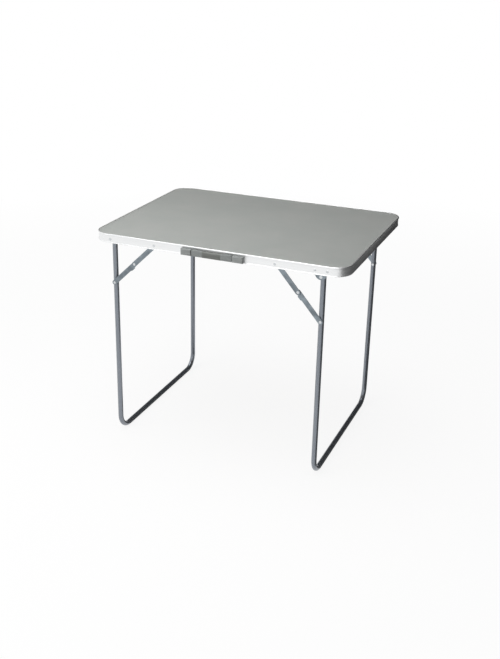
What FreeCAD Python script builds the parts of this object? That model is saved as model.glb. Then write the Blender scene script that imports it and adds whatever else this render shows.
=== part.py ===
"""Folding table: a framed board on two U-shaped tube legs that fold up under it.

Millimetres, +Z up, X along the long side, origin on the floor under the middle of the board.
The handle is on the front long side (-Y). The left leg frame folds on pivots through the rim,
the right one on brackets that hang lower, so that the left frame folds in above it.
"""
import FreeCAD, Part
import math
import os

V = FreeCAD.Vector
UP = V(0, 0, 1)

# Overall sizes
LENGTH = 800.0
WIDTH = 600.0
HEIGHT = 680.0
CORNER_R = 53.0

# Rim: an aluminium extrusion bent round the board
RIM_HEIGHT = 28.0
WEB_WALL = 1.2
BEAD_PROUD = 1.8
BEAD_HEIGHT = 5.8
FOOT_BEAD_PROUD = 1.2
FOOT_BEAD_HEIGHT = 3.0
SHELF_WALL = 1.2
SHELF_REACH = 15.0
SEAM_GAP = 0.4

# Board
PANEL_THICK = 5.0
PANEL_BELOW_LIP = 0.5
PANEL_CLEAR = 0.3

# Joiner plate behind the rim's butt seam
JOINER_LENGTH = 84.0
JOINER_HEIGHT = 16.0
JOINER_WALL = 1.5
JOINER_PITCH = 24.0

# Leg frames
TUBE_R = 8.0
TUBE_WALL = 1.0
TUBE_INBOARD = 29.5
LEG_BEND_R = 50.0
TUBE_ABOVE_PIVOT = 5.0
LEFT_PIVOT_X = -337.0
LEFT_PIVOT_ROOM = 1.3
RIGHT_PIVOT_X = 324.0
RIGHT_PIVOT_BELOW_RIM = 6.0

# Folding braces
BRACE_ROOM = 1.8
LEFT_BRACE_REACH = 147.0
RIGHT_BRACE_REACH = 135.0
LEFT_BRACE_DROP = 143.5
RIGHT_BRACE_DROP = 139.0
STRIP_WIDTH = 15.0
STRIP_WALL = 1.5
EAR_START = 9.0
EAR_END = 27.0
EAR_PROUD = 2.6
DETENT_FROM_KNEE = 24.0
DETENT_R = 2.6
DETENT_PROUD = 0.8

# Rivets, sleeves and washers
PIVOT_RIVET_R = 3.0
BRACE_RIVET_R = 2.5
FIX_RIVET_R = 2.0
RIVET_HEAD_OVER = 1.6
RIM_HEAD_HEIGHT = 1.6
THIN_HEAD = 0.8
KNEE_HEAD = 1.2
SLEEVE_WALL = 2.0
WASHER_THICK = 1.0
WASHER_OVER = 3.0
RUNNING_CLEAR = 0.06
SIDE_CLEAR = 0.3
TUBE_CLEAR = 0.1
HEAD_GAP = 0.5

# Right pivot bracket
BRACKET_WIDTH = 45.0
BRACKET_WALL = 1.5
BRACKET_TOP_BELOW = 9.0
BRACKET_LOBE_R = 17.0
BRACKET_LOBE_ABOVE_RIM_FOOT = 3.0
BRACKET_RIVET_PITCH = 35.0
BRACKET_RIVET_BELOW_TOP = 15.5

# Handle: a strap held in two end caps, with a grip moulded round its middle
CAP_INNER_X = 65.0
CAP_LENGTH = 32.0
CAP_DEPTH = 13.3
CAP_WALL = 2.0
CAP_BELOW_TOP = 6.8
CAP_ABOVE_RIM_FOOT = 2.0
GRIP_CLEAR = 0.8
HUB_LENGTH = 19.0
GRIP_DEPTH = 10.0
GRIP_SCOOP = 2.6
STRAP_HEIGHT = 10.0
STRAP_THICK = 1.6
STRAP_CLEAR = 0.3
STRAP_OFF_WEB = 6.0
SCREW_R = 2.0
SCREW_HEAD_R = 3.8
SCREW_HEAD_HEIGHT = 1.6

# Places worked out from the sizes above
RIM_BOTTOM = HEIGHT - RIM_HEIGHT
PANEL_TOP = HEIGHT - PANEL_BELOW_LIP
SHELF_TOP = PANEL_TOP - PANEL_THICK
SHELF_UNDER = SHELF_TOP - SHELF_WALL
WEB_OUT = WIDTH / 2 - BEAD_PROUD
WEB_IN = WEB_OUT - WEB_WALL
TUBE_Y = WIDTH / 2 - TUBE_INBOARD
TUBE_FACE = TUBE_Y + TUBE_R
LOWER_IN = TUBE_FACE + TUBE_CLEAR + WASHER_THICK + SIDE_CLEAR
LOWER_OUT = LOWER_IN + STRIP_WALL
Q_HEAD_OUT = LOWER_OUT + SIDE_CLEAR + THIN_HEAD
S_HEAD_IN = Q_HEAD_OUT + HEAD_GAP
UPPER_IN = S_HEAD_IN + THIN_HEAD + SIDE_CLEAR
UPPER_OUT = UPPER_IN + STRIP_WALL
BRACKET_IN = WEB_IN - BRACKET_WALL
SLEEVE_IN = TUBE_FACE + SIDE_CLEAR
PIVOT_HEAD_OUT = TUBE_Y - TUBE_R - SIDE_CLEAR
KNEE_SPLIT = (LOWER_OUT + UPPER_IN) / 2
BRACE_RIM_Z = SHELF_UNDER - BRACE_ROOM - STRIP_WIDTH / 2
LEFT_PIVOT_Z = SHELF_UNDER - LEFT_PIVOT_ROOM - TUBE_R
RIGHT_PIVOT_Z = RIM_BOTTOM - RIGHT_PIVOT_BELOW_RIM
HANDLE_LOW = RIM_BOTTOM + CAP_ABOVE_RIM_FOOT
CAP_HEIGHT = HEIGHT - CAP_BELOW_TOP - HANDLE_LOW
HANDLE_MIDDLE = HANDLE_LOW + CAP_HEIGHT / 2
STRAP_FRONT = -WEB_OUT - STRAP_OFF_WEB - STRAP_THICK / 2
CAP_POST_X = CAP_INNER_X + CAP_LENGTH - 1.75 * CAP_WALL - SCREW_R
FRONT, BACK = -1, 1


class Side:
    """One leg frame with its pivot, brace ends and folding brace."""

    def __init__(self, name, pivot_x, pivot_z, reach, drop, inward):
        self.name = name
        self.inward = inward
        self.pivot = (pivot_x, pivot_z)
        self.leg_end = (pivot_x, pivot_z - drop)
        self.rim_end = (pivot_x + inward * reach, BRACE_RIM_Z)
        self.knee = self.find_knee(drop)

    def find_knee(self, drop):
        """The knee splits the straight brace so that, folded, its lower half lies along the tube."""
        px, pz = self.pivot
        qx, qz = self.leg_end
        sx, sz = self.rim_end
        straight = math.hypot(sx - qx, sz - qz)
        folded_x = px + self.inward * drop
        dx, dz = sx - folded_x, sz - pz
        apart = math.hypot(dx, dz)
        along = -self.inward * dx
        lower = (straight**2 - apart**2) / (2 * (straight - along))
        share = lower / straight
        return (qx + (sx - qx) * share, qz + (sz - qz) * share)


LEFT = Side("left", LEFT_PIVOT_X, LEFT_PIVOT_Z, LEFT_BRACE_REACH, LEFT_BRACE_DROP, 1)
RIGHT = Side("right", RIGHT_PIVOT_X, RIGHT_PIVOT_Z, RIGHT_BRACE_REACH, RIGHT_BRACE_DROP, -1)
SIDES = (LEFT, RIGHT)


def save(name, shape):
    """Write one sub-part to its own file."""
    if not shape.isValid():
        raise ValueError(name + " is not a valid shape")
    shape.exportStep("parts/" + name + ".step")
    print(name, len(shape.Solids), "solids", round(shape.Volume), "mm3")


def group(shapes):
    """Separate solids that share one node."""
    return Part.makeCompound(shapes)


def rod(at, end, inner, outer, radius, bore=0.0):
    """A round bar across the table, from inner to outer distance off the middle, at one long side."""
    x, z = at
    start = end * inner if end > 0 else end * outer
    base = V(x, start, z)
    bar = Part.makeCylinder(radius, outer - inner, base, V(0, 1, 0))
    if bore:
        bar = bar.cut(Part.makeCylinder(bore, outer - inner, base, V(0, 1, 0)))
    return bar


def turned_rivet(at, end, steps, dome=0.0):
    """A rivet turned from (radius, start, finish) steps going outwards, domed past the last one."""
    points = [(0.0, steps[0][1])]
    for radius, start, finish in steps:
        points.append((radius, start))
        if finish > start:
            points.append((radius, finish))
    radius, _, face = steps[-1]
    tip = face + dome
    line = [V(r, end * d, 0) for r, d in points]
    edges = [Part.LineSegment(a, b).toShape() for a, b in zip(line, line[1:])]
    axis_end = V(0, end * tip, 0)
    if dome:
        ball_r = (radius**2 + dome**2) / (2 * dome)
        half = math.asin(radius / ball_r) / 2
        mid = V(ball_r * math.sin(half), end * (tip - ball_r * (1 - math.cos(half))), 0)
        edges.append(Part.Arc(line[-1], mid, axis_end).toShape())
    else:
        edges.append(Part.LineSegment(line[-1], axis_end).toShape())
    edges.append(Part.LineSegment(axis_end, line[0]).toShape())
    solid = Part.Face(Part.Wire(edges)).revolve(V(0, 0, 0), V(0, 1, 0), 360)
    solid.translate(V(at[0], 0, at[1]))
    return solid


def fused(shapes):
    """One clean solid from overlapping or touching ones."""
    return shapes[0].fuse(shapes[1:]).removeSplitter()


def rounded_block(length, width, radius, z_low, z_high):
    """A flat block with four rounded corners, centred on the table."""
    block = Part.makeBox(length, width, z_high - z_low, V(-length / 2, -width / 2, z_low))
    upright = [e for e in block.Edges if abs(e.tangentAt(e.FirstParameter).z) > 0.99]
    return block.makeFillet(radius, upright)


# ---------------------------------------------------------------- board and rim

def tabletop_panel():
    """The board drops inside the rim's lip and rests on its shelf."""
    inset = BEAD_PROUD + WEB_WALL + PANEL_CLEAR
    return rounded_block(LENGTH - 2 * inset, WIDTH - 2 * inset, CORNER_R - inset, SHELF_TOP, PANEL_TOP)


def rim_outline():
    """The extrusion's section as (distance in from the outermost line, height) edges."""
    lip = BEAD_PROUD + WEB_WALL
    bead_low = HEIGHT - BEAD_HEIGHT
    foot_out = BEAD_PROUD - FOOT_BEAD_PROUD
    shelf_in = lip + SHELF_REACH
    foot_high = RIM_BOTTOM + FOOT_BEAD_HEIGHT

    def at(inset, z):
        return V(0, -WIDTH / 2 + inset, z)

    corners = [
        at(BEAD_PROUD * 0.7, HEIGHT),
        at(lip, HEIGHT),
        at(lip, SHELF_TOP),
        at(shelf_in, SHELF_TOP),
        at(shelf_in, SHELF_UNDER),
        at(lip, SHELF_UNDER),
        at(lip, RIM_BOTTOM),
        at(BEAD_PROUD, RIM_BOTTOM),
    ]
    edges = [Part.LineSegment(a, b).toShape() for a, b in zip(corners, corners[1:])]
    foot_mid = at(foot_out, (RIM_BOTTOM + foot_high) / 2)
    foot_end = at(BEAD_PROUD, foot_high)
    edges.append(Part.Arc(corners[-1], foot_mid, foot_end).toShape())
    bead_start = at(BEAD_PROUD, bead_low)
    edges.append(Part.LineSegment(foot_end, bead_start).toShape())
    bead_mid = at(0, (bead_low + HEIGHT) / 2)
    edges.append(Part.Arc(bead_start, bead_mid, corners[0]).toShape())
    return Part.Face(Part.Wire(edges))


def rim_frame():
    """Four straight runs and four bent corners of one extrusion, with a butt seam at the back."""
    face = rim_outline()
    straight_x = LENGTH - 2 * CORNER_R
    straight_y = WIDTH - 2 * CORNER_R
    runs = []
    for turn, run, reach in ((0, straight_x, WIDTH), (90, straight_y, LENGTH),
                             (180, straight_x, WIDTH), (270, straight_y, LENGTH)):
        section = face.translated(V(-run / 2, (WIDTH - reach) / 2, 0))
        bar = section.extrude(V(run, 0, 0))
        corner_axis = V(run / 2, -reach / 2 + CORNER_R, 0)
        bend = face.translated(V(run / 2, (WIDTH - reach) / 2, 0)).revolve(corner_axis, UP, 90)
        for piece in (bar, bend):
            piece.rotate(V(0, 0, 0), UP, turn)
            runs.append(piece)
    loop = fused(runs)
    seam = Part.makeBox(SEAM_GAP, SHELF_REACH * 2, RIM_HEIGHT * 2,
                        V(-SEAM_GAP / 2, WIDTH / 2 - SHELF_REACH * 1.5, RIM_BOTTOM - RIM_HEIGHT / 2))
    loop = loop.cut(seam)
    for side in SIDES:
        for end in (FRONT, BACK):
            loop = loop.cut(rim_hole(side.rim_end, end, BRACE_RIVET_R))
    for end in (FRONT, BACK):
        loop = loop.cut(rim_hole(LEFT.pivot, end, PIVOT_RIVET_R))
        for at in bracket_rivet_places():
            loop = loop.cut(rim_hole(at, end, FIX_RIVET_R))
    for at in joiner_rivet_places():
        loop = loop.cut(rim_hole(at, BACK, FIX_RIVET_R))
    for at in cap_screw_places():
        loop = loop.cut(rim_hole(at, FRONT, SCREW_R))
    return loop


def rim_hole(at, end, radius):
    """The cutter for a rivet hole through the rim's web."""
    return rod(at, end, WEB_IN - 1, WIDTH / 2 + 1, radius + RUNNING_CLEAR)


def joiner_rivet_places():
    middle = (RIM_BOTTOM + SHELF_UNDER) / 2
    return [(x * JOINER_PITCH, middle) for x in (-1.25, -0.5, 0.5, 1.25)]


def rim_joiner_plate():
    """A flat plate inside the web that ties the two ends of the bent rim together."""
    middle = joiner_rivet_places()[0][1]
    plate = Part.makeBox(JOINER_LENGTH, JOINER_WALL, JOINER_HEIGHT,
                         V(-JOINER_LENGTH / 2, WEB_IN - JOINER_WALL, middle - JOINER_HEIGHT / 2))
    for at in joiner_rivet_places():
        plate = plate.cut(rod(at, BACK, WEB_IN - JOINER_WALL - 1, WEB_IN + 1, FIX_RIVET_R + RUNNING_CLEAR))
    return plate


def web_rivet(at, end, plate_wall, radius):
    """A rivet through the web and a plate behind it, domed outside and flat inside."""
    inner = WEB_IN - plate_wall
    over = radius + RIVET_HEAD_OVER
    steps = [(over, inner - THIN_HEAD, inner), (radius, inner, WEB_OUT), (over, WEB_OUT, WEB_OUT)]
    return turned_rivet(at, end, steps, RIM_HEAD_HEIGHT)


# ---------------------------------------------------------------- leg frames

def leg_path(side, radius):
    """The U-shaped tube of one radius: up one side, across the floor and up the other."""
    x, pivot_z = side.pivot
    top = pivot_z + TUBE_ABOVE_PIVOT
    low = TUBE_R
    bend = LEG_BEND_R
    lean = bend * (1 - math.sqrt(0.5))
    points = [
        V(x, -TUBE_Y, top),
        V(x, -TUBE_Y, low + bend),
        V(x, -TUBE_Y + bend, low),
        V(x, TUBE_Y - bend, low),
        V(x, TUBE_Y, low + bend),
        V(x, TUBE_Y, top),
    ]
    mids = [V(x, -TUBE_Y + lean, low + lean), V(x, TUBE_Y - lean, low + lean)]
    edges = [
        Part.LineSegment(points[0], points[1]).toShape(),
        Part.Arc(points[1], mids[0], points[2]).toShape(),
        Part.LineSegment(points[2], points[3]).toShape(),
        Part.Arc(points[3], mids[1], points[4]).toShape(),
        Part.LineSegment(points[4], points[5]).toShape(),
    ]
    ring = Part.Wire(Part.Circle(points[0], UP, radius).toShape())
    return Part.Wire(edges).makePipeShell([ring], True, False)


def leg_frame(side):
    """A bent tube with a pivot hole and a brace hole across each upright."""
    tube = leg_path(side, TUBE_R).cut(leg_path(side, TUBE_R - TUBE_WALL))
    for end in (FRONT, BACK):
        for at, radius in ((side.pivot, PIVOT_RIVET_R), (side.leg_end, BRACE_RIVET_R)):
            hole = rod(at, end, TUBE_Y - TUBE_R - 1, TUBE_FACE + 1, radius + RUNNING_CLEAR)
            tube = tube.cut(hole)
    return tube


def pivot_rivet(at, end, plate_out):
    """A leg's axle, riveted over inside the tube and domed on the outside of the plate or rim."""
    over = PIVOT_RIVET_R + RIVET_HEAD_OVER
    steps = [
        (over, PIVOT_HEAD_OUT - RIM_HEAD_HEIGHT, PIVOT_HEAD_OUT),
        (PIVOT_RIVET_R, PIVOT_HEAD_OUT, plate_out),
        (over, plate_out, plate_out),
    ]
    return turned_rivet(at, end, steps, RIM_HEAD_HEIGHT)


def sleeve(at, end, inner, outer, shank_r):
    """A spacer tube on a rivet."""
    return rod(at, end, inner, outer, shank_r + RUNNING_CLEAR + SLEEVE_WALL, shank_r + RUNNING_CLEAR)


def bracket_rivet_places():
    z = HEIGHT - BRACKET_RIVET_BELOW_TOP
    return [(RIGHT_PIVOT_X + k * BRACKET_RIVET_PITCH / 2, z) for k in (-1, 1)]


def pivot_bracket(end):
    """A plate on the inside of the web whose half-round lobe carries the right leg's axle."""
    top = HEIGHT - BRACKET_TOP_BELOW
    lobe_z = RIM_BOTTOM + BRACKET_LOBE_ABOVE_RIM_FOOT
    start = min(end * BRACKET_IN, end * WEB_IN)
    plate = Part.makeBox(BRACKET_WIDTH, BRACKET_WALL, top - lobe_z,
                         V(RIGHT_PIVOT_X - BRACKET_WIDTH / 2, start, lobe_z))
    lobe = rod((RIGHT_PIVOT_X, lobe_z), end, BRACKET_IN, WEB_IN, BRACKET_LOBE_R)
    bracket = fused([plate, lobe])
    holes = [(at, FIX_RIVET_R) for at in bracket_rivet_places()] + [(RIGHT.pivot, PIVOT_RIVET_R)]
    for at, radius in holes:
        bracket = bracket.cut(rod(at, end, BRACKET_IN - 1, WEB_IN + 1, radius + RUNNING_CLEAR))
    return bracket


# ---------------------------------------------------------------- folding braces

def strip(start, finish, end, inner):
    """A flat steel strip with round ends and a rivet hole at each."""
    outer = inner + STRIP_WALL
    span = math.hypot(finish[0] - start[0], finish[1] - start[1])
    base = V(0, min(end * inner, end * outer), -STRIP_WIDTH / 2)
    bar = Part.makeBox(span, STRIP_WALL, STRIP_WIDTH, base)
    bar = turned(bar, start, finish)
    tips = [rod(at, end, inner, outer, STRIP_WIDTH / 2) for at in (start, finish)]
    return fused([bar] + tips)


def turned(shape, start, finish):
    """Lay a shape drawn along +X from the origin on the line from start to finish."""
    angle = math.degrees(math.atan2(finish[1] - start[1], finish[0] - start[0]))
    shape = shape.copy()
    shape.rotate(V(0, 0, 0), V(0, -1, 0), angle)
    shape.translate(V(start[0], 0, start[1]))
    return shape


def upper_strut(side, end):
    """The brace's rim half, from the rim rivet to the knee."""
    body = strip(side.rim_end, side.knee, end, UPPER_IN)
    for at in (side.rim_end, side.knee):
        body = body.cut(rod(at, end, UPPER_IN - 1, UPPER_OUT + 1, BRACE_RIVET_R + RUNNING_CLEAR))
    return body


def lower_strut(side, end):
    """The brace's leg half, with a stop ear on its lower edge and a detent pressed out of it."""
    body = strip(side.knee, side.leg_end, end, LOWER_IN)
    low_edge = side.inward
    ear_y = min(end * LOWER_IN, end * LOWER_OUT)
    mid = STRIP_WIDTH / 2
    tip = mid + EAR_PROUD
    outline = [(EAR_START, mid - 1), (EAR_START, tip), (EAR_END - 2 * EAR_PROUD, tip), (EAR_END, mid),
               (EAR_END, mid - 1)]
    points = [V(along, ear_y, low_edge * off) for along, off in outline]
    ear = Part.Face(Part.makePolygon(points + points[:1])).extrude(V(0, STRIP_WALL, 0))
    body = fused([body, turned(ear, side.knee, side.leg_end)])
    root = LOWER_OUT - STRIP_WALL / 2
    detent = turned_rivet(along_lower(side, DETENT_FROM_KNEE), end, [(DETENT_R, root, LOWER_OUT)],
                          DETENT_PROUD)
    body = fused([body, detent])
    for at in (side.leg_end, side.knee):
        body = body.cut(rod(at, end, LOWER_IN - 1, LOWER_OUT + 0.01, BRACE_RIVET_R + RUNNING_CLEAR))
    return body


def along_lower(side, distance):
    """A point on the lower strut, a distance from the knee."""
    kx, kz = side.knee
    qx, qz = side.leg_end
    share = distance / math.hypot(qx - kx, qz - kz)
    return (kx + (qx - kx) * share, kz + (qz - kz) * share)


def knee_rivet_outer(side, end):
    """The half of the knee rivet that the rim half carries, with the domed head."""
    over = BRACE_RIVET_R + RIVET_HEAD_OVER
    steps = [
        (over, KNEE_SPLIT + SIDE_CLEAR / 2, UPPER_IN),
        (BRACE_RIVET_R, UPPER_IN, UPPER_OUT),
        (over, UPPER_OUT, UPPER_OUT),
    ]
    return turned_rivet(side.knee, end, steps, KNEE_HEAD)


def knee_rivet_inner(side, end):
    """The half of the knee rivet that the leg half carries, with the flat tail."""
    over = BRACE_RIVET_R + RIVET_HEAD_OVER
    steps = [
        (over, LOWER_IN - THIN_HEAD, LOWER_IN),
        (BRACE_RIVET_R, LOWER_IN, LOWER_OUT),
        (over, LOWER_OUT, KNEE_SPLIT - SIDE_CLEAR / 2),
    ]
    return turned_rivet(side.knee, end, steps)


def brace_rim_rivet(side, end):
    """The rivet that carries the brace's upper end, through the web, a sleeve and the strip."""
    over = BRACE_RIVET_R + RIVET_HEAD_OVER
    steps = [
        (over, S_HEAD_IN, S_HEAD_IN + THIN_HEAD),
        (BRACE_RIVET_R, S_HEAD_IN + THIN_HEAD, WEB_OUT),
        (over, WEB_OUT, WEB_OUT),
    ]
    return turned_rivet(side.rim_end, end, steps, RIM_HEAD_HEIGHT)


def leg_brace_rivet(side, end):
    """The rivet through the leg tube that carries the brace's lower end."""
    over = BRACE_RIVET_R + RIVET_HEAD_OVER
    inner = TUBE_Y - TUBE_R
    steps = [
        (over, inner - THIN_HEAD, inner),
        (BRACE_RIVET_R, inner, Q_HEAD_OUT - THIN_HEAD),
        (over, Q_HEAD_OUT - THIN_HEAD, Q_HEAD_OUT),
    ]
    return turned_rivet(side.leg_end, end, steps)


def leg_brace_washer(side, end):
    """The washer that holds the strip off the round of the tube."""
    inner = TUBE_FACE + TUBE_CLEAR
    bore = BRACE_RIVET_R + RUNNING_CLEAR
    return rod(side.leg_end, end, inner, inner + WASHER_THICK, BRACE_RIVET_R + WASHER_OVER, bore)


# ---------------------------------------------------------------- carrying handle

def cap_screw_places():
    return [(k * CAP_POST_X, HANDLE_MIDDLE) for k in (-1, 1)]


def handle_cap(hand):
    """A moulded cover over one end of the strap, open at the back and towards the grip."""
    front = -WEB_OUT - CAP_DEPTH
    shell = Part.makeBox(CAP_LENGTH, CAP_DEPTH, CAP_HEIGHT, V(CAP_INNER_X, front, HANDLE_LOW))
    round_edges = [e for e in shell.Edges if e.BoundBox.YMax < front + 0.01
                   and e.BoundBox.XMax > CAP_INNER_X + 0.01]
    shell = shell.makeFillet(CAP_WALL * 1.4, round_edges)
    cavity = Part.makeBox(CAP_LENGTH - CAP_WALL, CAP_DEPTH - CAP_WALL, CAP_HEIGHT - 2 * CAP_WALL,
                          V(CAP_INNER_X, front + CAP_WALL, HANDLE_LOW + CAP_WALL))
    post_x = CAP_POST_X
    post = Part.makeCylinder(SCREW_R + CAP_WALL, CAP_DEPTH - CAP_WALL / 2,
                             V(post_x, front + CAP_WALL / 2, HANDLE_MIDDLE), V(0, 1, 0))
    cap = fused([shell.cut(cavity), post])
    screw_hole = Part.makeCylinder(SCREW_R, CAP_DEPTH - 2 * CAP_WALL,
                                   V(post_x, front + 2 * CAP_WALL, HANDLE_MIDDLE), V(0, 1, 0))
    foot_bead = Part.makeBox(CAP_LENGTH, BEAD_PROUD, FOOT_BEAD_HEIGHT + 2 * STRAP_CLEAR,
                             V(CAP_INNER_X, -WEB_OUT - FOOT_BEAD_PROUD - STRAP_CLEAR, RIM_BOTTOM))
    cap = cap.cut(screw_hole).cut(foot_bead)
    if hand < 0:
        cap = cap.mirror(V(0, 0, 0), V(1, 0, 0))
    return cap


def handle_strap():
    """The springy strap that runs through the grip and into both caps."""
    half = CAP_POST_X - SCREW_R - CAP_WALL - STRAP_CLEAR
    return Part.makeBox(2 * half, STRAP_THICK, STRAP_HEIGHT,
                        V(-half, STRAP_FRONT, HANDLE_MIDDLE - STRAP_HEIGHT / 2))


def handle_screw(at):
    """A pan-head screw from inside the rim into the cap's post."""
    shank = rod(at, FRONT, WEB_IN, WEB_OUT + CAP_DEPTH - 2 * CAP_WALL, SCREW_R)
    head = rod(at, FRONT, WEB_IN - SCREW_HEAD_HEIGHT, WEB_IN, SCREW_HEAD_R)
    return fused([shank, head])


def handle_grip():
    """The moulded grip: a full-height hub at each end and a lower, scooped middle to hold."""
    half = CAP_INNER_X - GRIP_CLEAR
    back = -WEB_OUT - FOOT_BEAD_PROUD - GRIP_CLEAR
    grip = Part.makeBox(2 * half, GRIP_DEPTH, CAP_HEIGHT, V(-half, back - GRIP_DEPTH, HANDLE_LOW))
    scoop_half = half - HUB_LENGTH
    scoop_r = (scoop_half**2 + GRIP_SCOOP**2) / (2 * GRIP_SCOOP)
    scoop = Part.makeCylinder(scoop_r, GRIP_DEPTH * 2,
                              V(0, back - GRIP_DEPTH * 1.5, HANDLE_LOW + CAP_HEIGHT - GRIP_SCOOP + scoop_r),
                              V(0, 1, 0))
    strap_way = Part.makeBox(2 * half, STRAP_THICK + 2 * STRAP_CLEAR, STRAP_HEIGHT + 2 * STRAP_CLEAR,
                             V(-half, STRAP_FRONT - STRAP_CLEAR,
                               HANDLE_MIDDLE - STRAP_HEIGHT / 2 - STRAP_CLEAR))
    return grip.cut(scoop).cut(strap_way)


# ---------------------------------------------------------------- build

def build():
    os.makedirs("parts", exist_ok=True)
    ends = (("front", FRONT), ("back", BACK))

    save("tabletop_panel", tabletop_panel())
    save("rim_frame", rim_frame())
    save("rim_joiner_plate", rim_joiner_plate())
    save("rim_joiner_rivets", group([web_rivet(at, BACK, JOINER_WALL, FIX_RIVET_R)
                                     for at in joiner_rivet_places()]))

    save("handle_cap_left", handle_cap(-1))
    save("handle_cap_right", handle_cap(1))
    save("handle_screws", group([handle_screw(at) for at in cap_screw_places()]))
    save("handle_strap", handle_strap())
    save("handle_grip", handle_grip())

    save("left_pivot_rivets", group([pivot_rivet(LEFT.pivot, end, WEB_OUT) for _, end in ends]))
    save("left_pivot_sleeves", group([sleeve(LEFT.pivot, end, SLEEVE_IN, WEB_IN, PIVOT_RIVET_R)
                                      for _, end in ends]))
    save("right_pivot_rivets", group([pivot_rivet(RIGHT.pivot, end, WEB_IN) for _, end in ends]))
    save("right_pivot_sleeves", group([sleeve(RIGHT.pivot, end, SLEEVE_IN, BRACKET_IN, PIVOT_RIVET_R)
                                       for _, end in ends]))
    save("bracket_rivets", group([web_rivet(at, end, BRACKET_WALL, FIX_RIVET_R)
                                  for _, end in ends for at in bracket_rivet_places()]))
    for word, end in ends:
        save("right_bracket_" + word, pivot_bracket(end))

    for side in SIDES:
        save(side.name + "_leg_frame", leg_frame(side))
        save(side.name + "_leg_brace_rivets", group([leg_brace_rivet(side, end) for _, end in ends]))
        save(side.name + "_leg_brace_washers", group([leg_brace_washer(side, end) for _, end in ends]))
        save(side.name + "_rim_brace_rivets", group([brace_rim_rivet(side, end) for _, end in ends]))
        save(side.name + "_rim_brace_sleeves",
             group([sleeve(side.rim_end, end, UPPER_OUT + SIDE_CLEAR, WEB_IN, BRACE_RIVET_R)
                    for _, end in ends]))
        for word, end in ends:
            name = side.name + "_" + word
            save(name + "_upper_strut", upper_strut(side, end))
            save(name + "_lower_strut", lower_strut(side, end))
            save(name + "_knee_rivet_outer", knee_rivet_outer(side, end))
            save(name + "_knee_rivet_inner", knee_rivet_inner(side, end))


build()
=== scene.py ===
import bmesh
import bpy
import math
from mathutils import Matrix, Vector


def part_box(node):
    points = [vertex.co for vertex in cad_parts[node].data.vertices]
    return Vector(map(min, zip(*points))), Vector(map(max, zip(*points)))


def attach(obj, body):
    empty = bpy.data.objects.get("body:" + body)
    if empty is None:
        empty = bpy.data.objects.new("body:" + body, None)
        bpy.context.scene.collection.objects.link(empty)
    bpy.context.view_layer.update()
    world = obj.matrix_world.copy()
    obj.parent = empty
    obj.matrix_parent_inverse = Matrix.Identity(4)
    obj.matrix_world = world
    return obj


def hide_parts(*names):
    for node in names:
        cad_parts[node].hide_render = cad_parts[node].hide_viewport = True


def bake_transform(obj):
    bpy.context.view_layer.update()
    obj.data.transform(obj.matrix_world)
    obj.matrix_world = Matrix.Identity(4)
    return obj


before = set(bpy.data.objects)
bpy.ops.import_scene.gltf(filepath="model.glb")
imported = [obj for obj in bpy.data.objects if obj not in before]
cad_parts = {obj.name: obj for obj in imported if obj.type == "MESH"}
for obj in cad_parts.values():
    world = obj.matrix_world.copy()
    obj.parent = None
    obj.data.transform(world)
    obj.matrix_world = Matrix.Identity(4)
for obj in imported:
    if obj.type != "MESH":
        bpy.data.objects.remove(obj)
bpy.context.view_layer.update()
MM = 0.001

# ---------------------------------------------------------------- board
# A sheet of thin fibreboard with a grey melamine face, sawn to a rounded rectangle. It drops into
# the rim from above and lies on the rim's shelf, half a millimetre below the lip.


def linear(code):
    """A colour written as sRGB hex, as the linear values that shaders use."""
    parts = [int(code[i:i + 2], 16) / 255 for i in (1, 3, 5)]
    return tuple(c / 12.92 if c <= 0.04045 else ((c + 0.055) / 1.055) ** 2.4 for c in parts) + (1.0,)


def add_node(tree, kind, settings=None, links=None):
    """One node with its settings, inputs by name or number, and links from (node, output)."""
    node = tree.nodes.new(kind)
    for key, value in (settings or {}).items():
        if isinstance(key, int) or key in node.inputs:
            node.inputs[key].default_value = value
        else:
            setattr(node, key, value)
    for key, (source, output) in (links or {}).items():
        tree.links.new(source.outputs[output], node.inputs[key])
    return node


def start_material(name, colour, metallic, roughness):
    """A material with its shader set to the plain values of the real finish."""
    material = bpy.data.materials.new(name)
    material.use_nodes = True
    shader = material.node_tree.nodes["Principled BSDF"]
    shader.inputs["Base Color"].default_value = linear(colour)
    shader.inputs["Metallic"].default_value = metallic
    shader.inputs["Roughness"].default_value = roughness
    material.diffuse_color = linear(colour)
    return material, material.node_tree, shader


def two_tones(tree, shader, factor, dark, light):
    """The base colour between two close tones of one finish."""
    ramp = add_node(tree, "ShaderNodeValToRGB", {}, {0: (factor, 0)})
    ramp.color_ramp.elements[0].position = 0.35
    ramp.color_ramp.elements[1].position = 0.65
    ramp.color_ramp.elements[0].color = linear(dark)
    ramp.color_ramp.elements[1].color = linear(light)
    tree.links.new(ramp.outputs[0], shader.inputs["Base Color"])


def raised_grain(tree, shader, height, strength, depth):
    """Bump of a real depth in metres from a 0 to 1 height."""
    bump = add_node(tree, "ShaderNodeBump", {"Strength": strength, "Distance": depth},
                    {"Height": (height, 0)})
    tree.links.new(bump.outputs[0], shader.inputs["Normal"])


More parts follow.
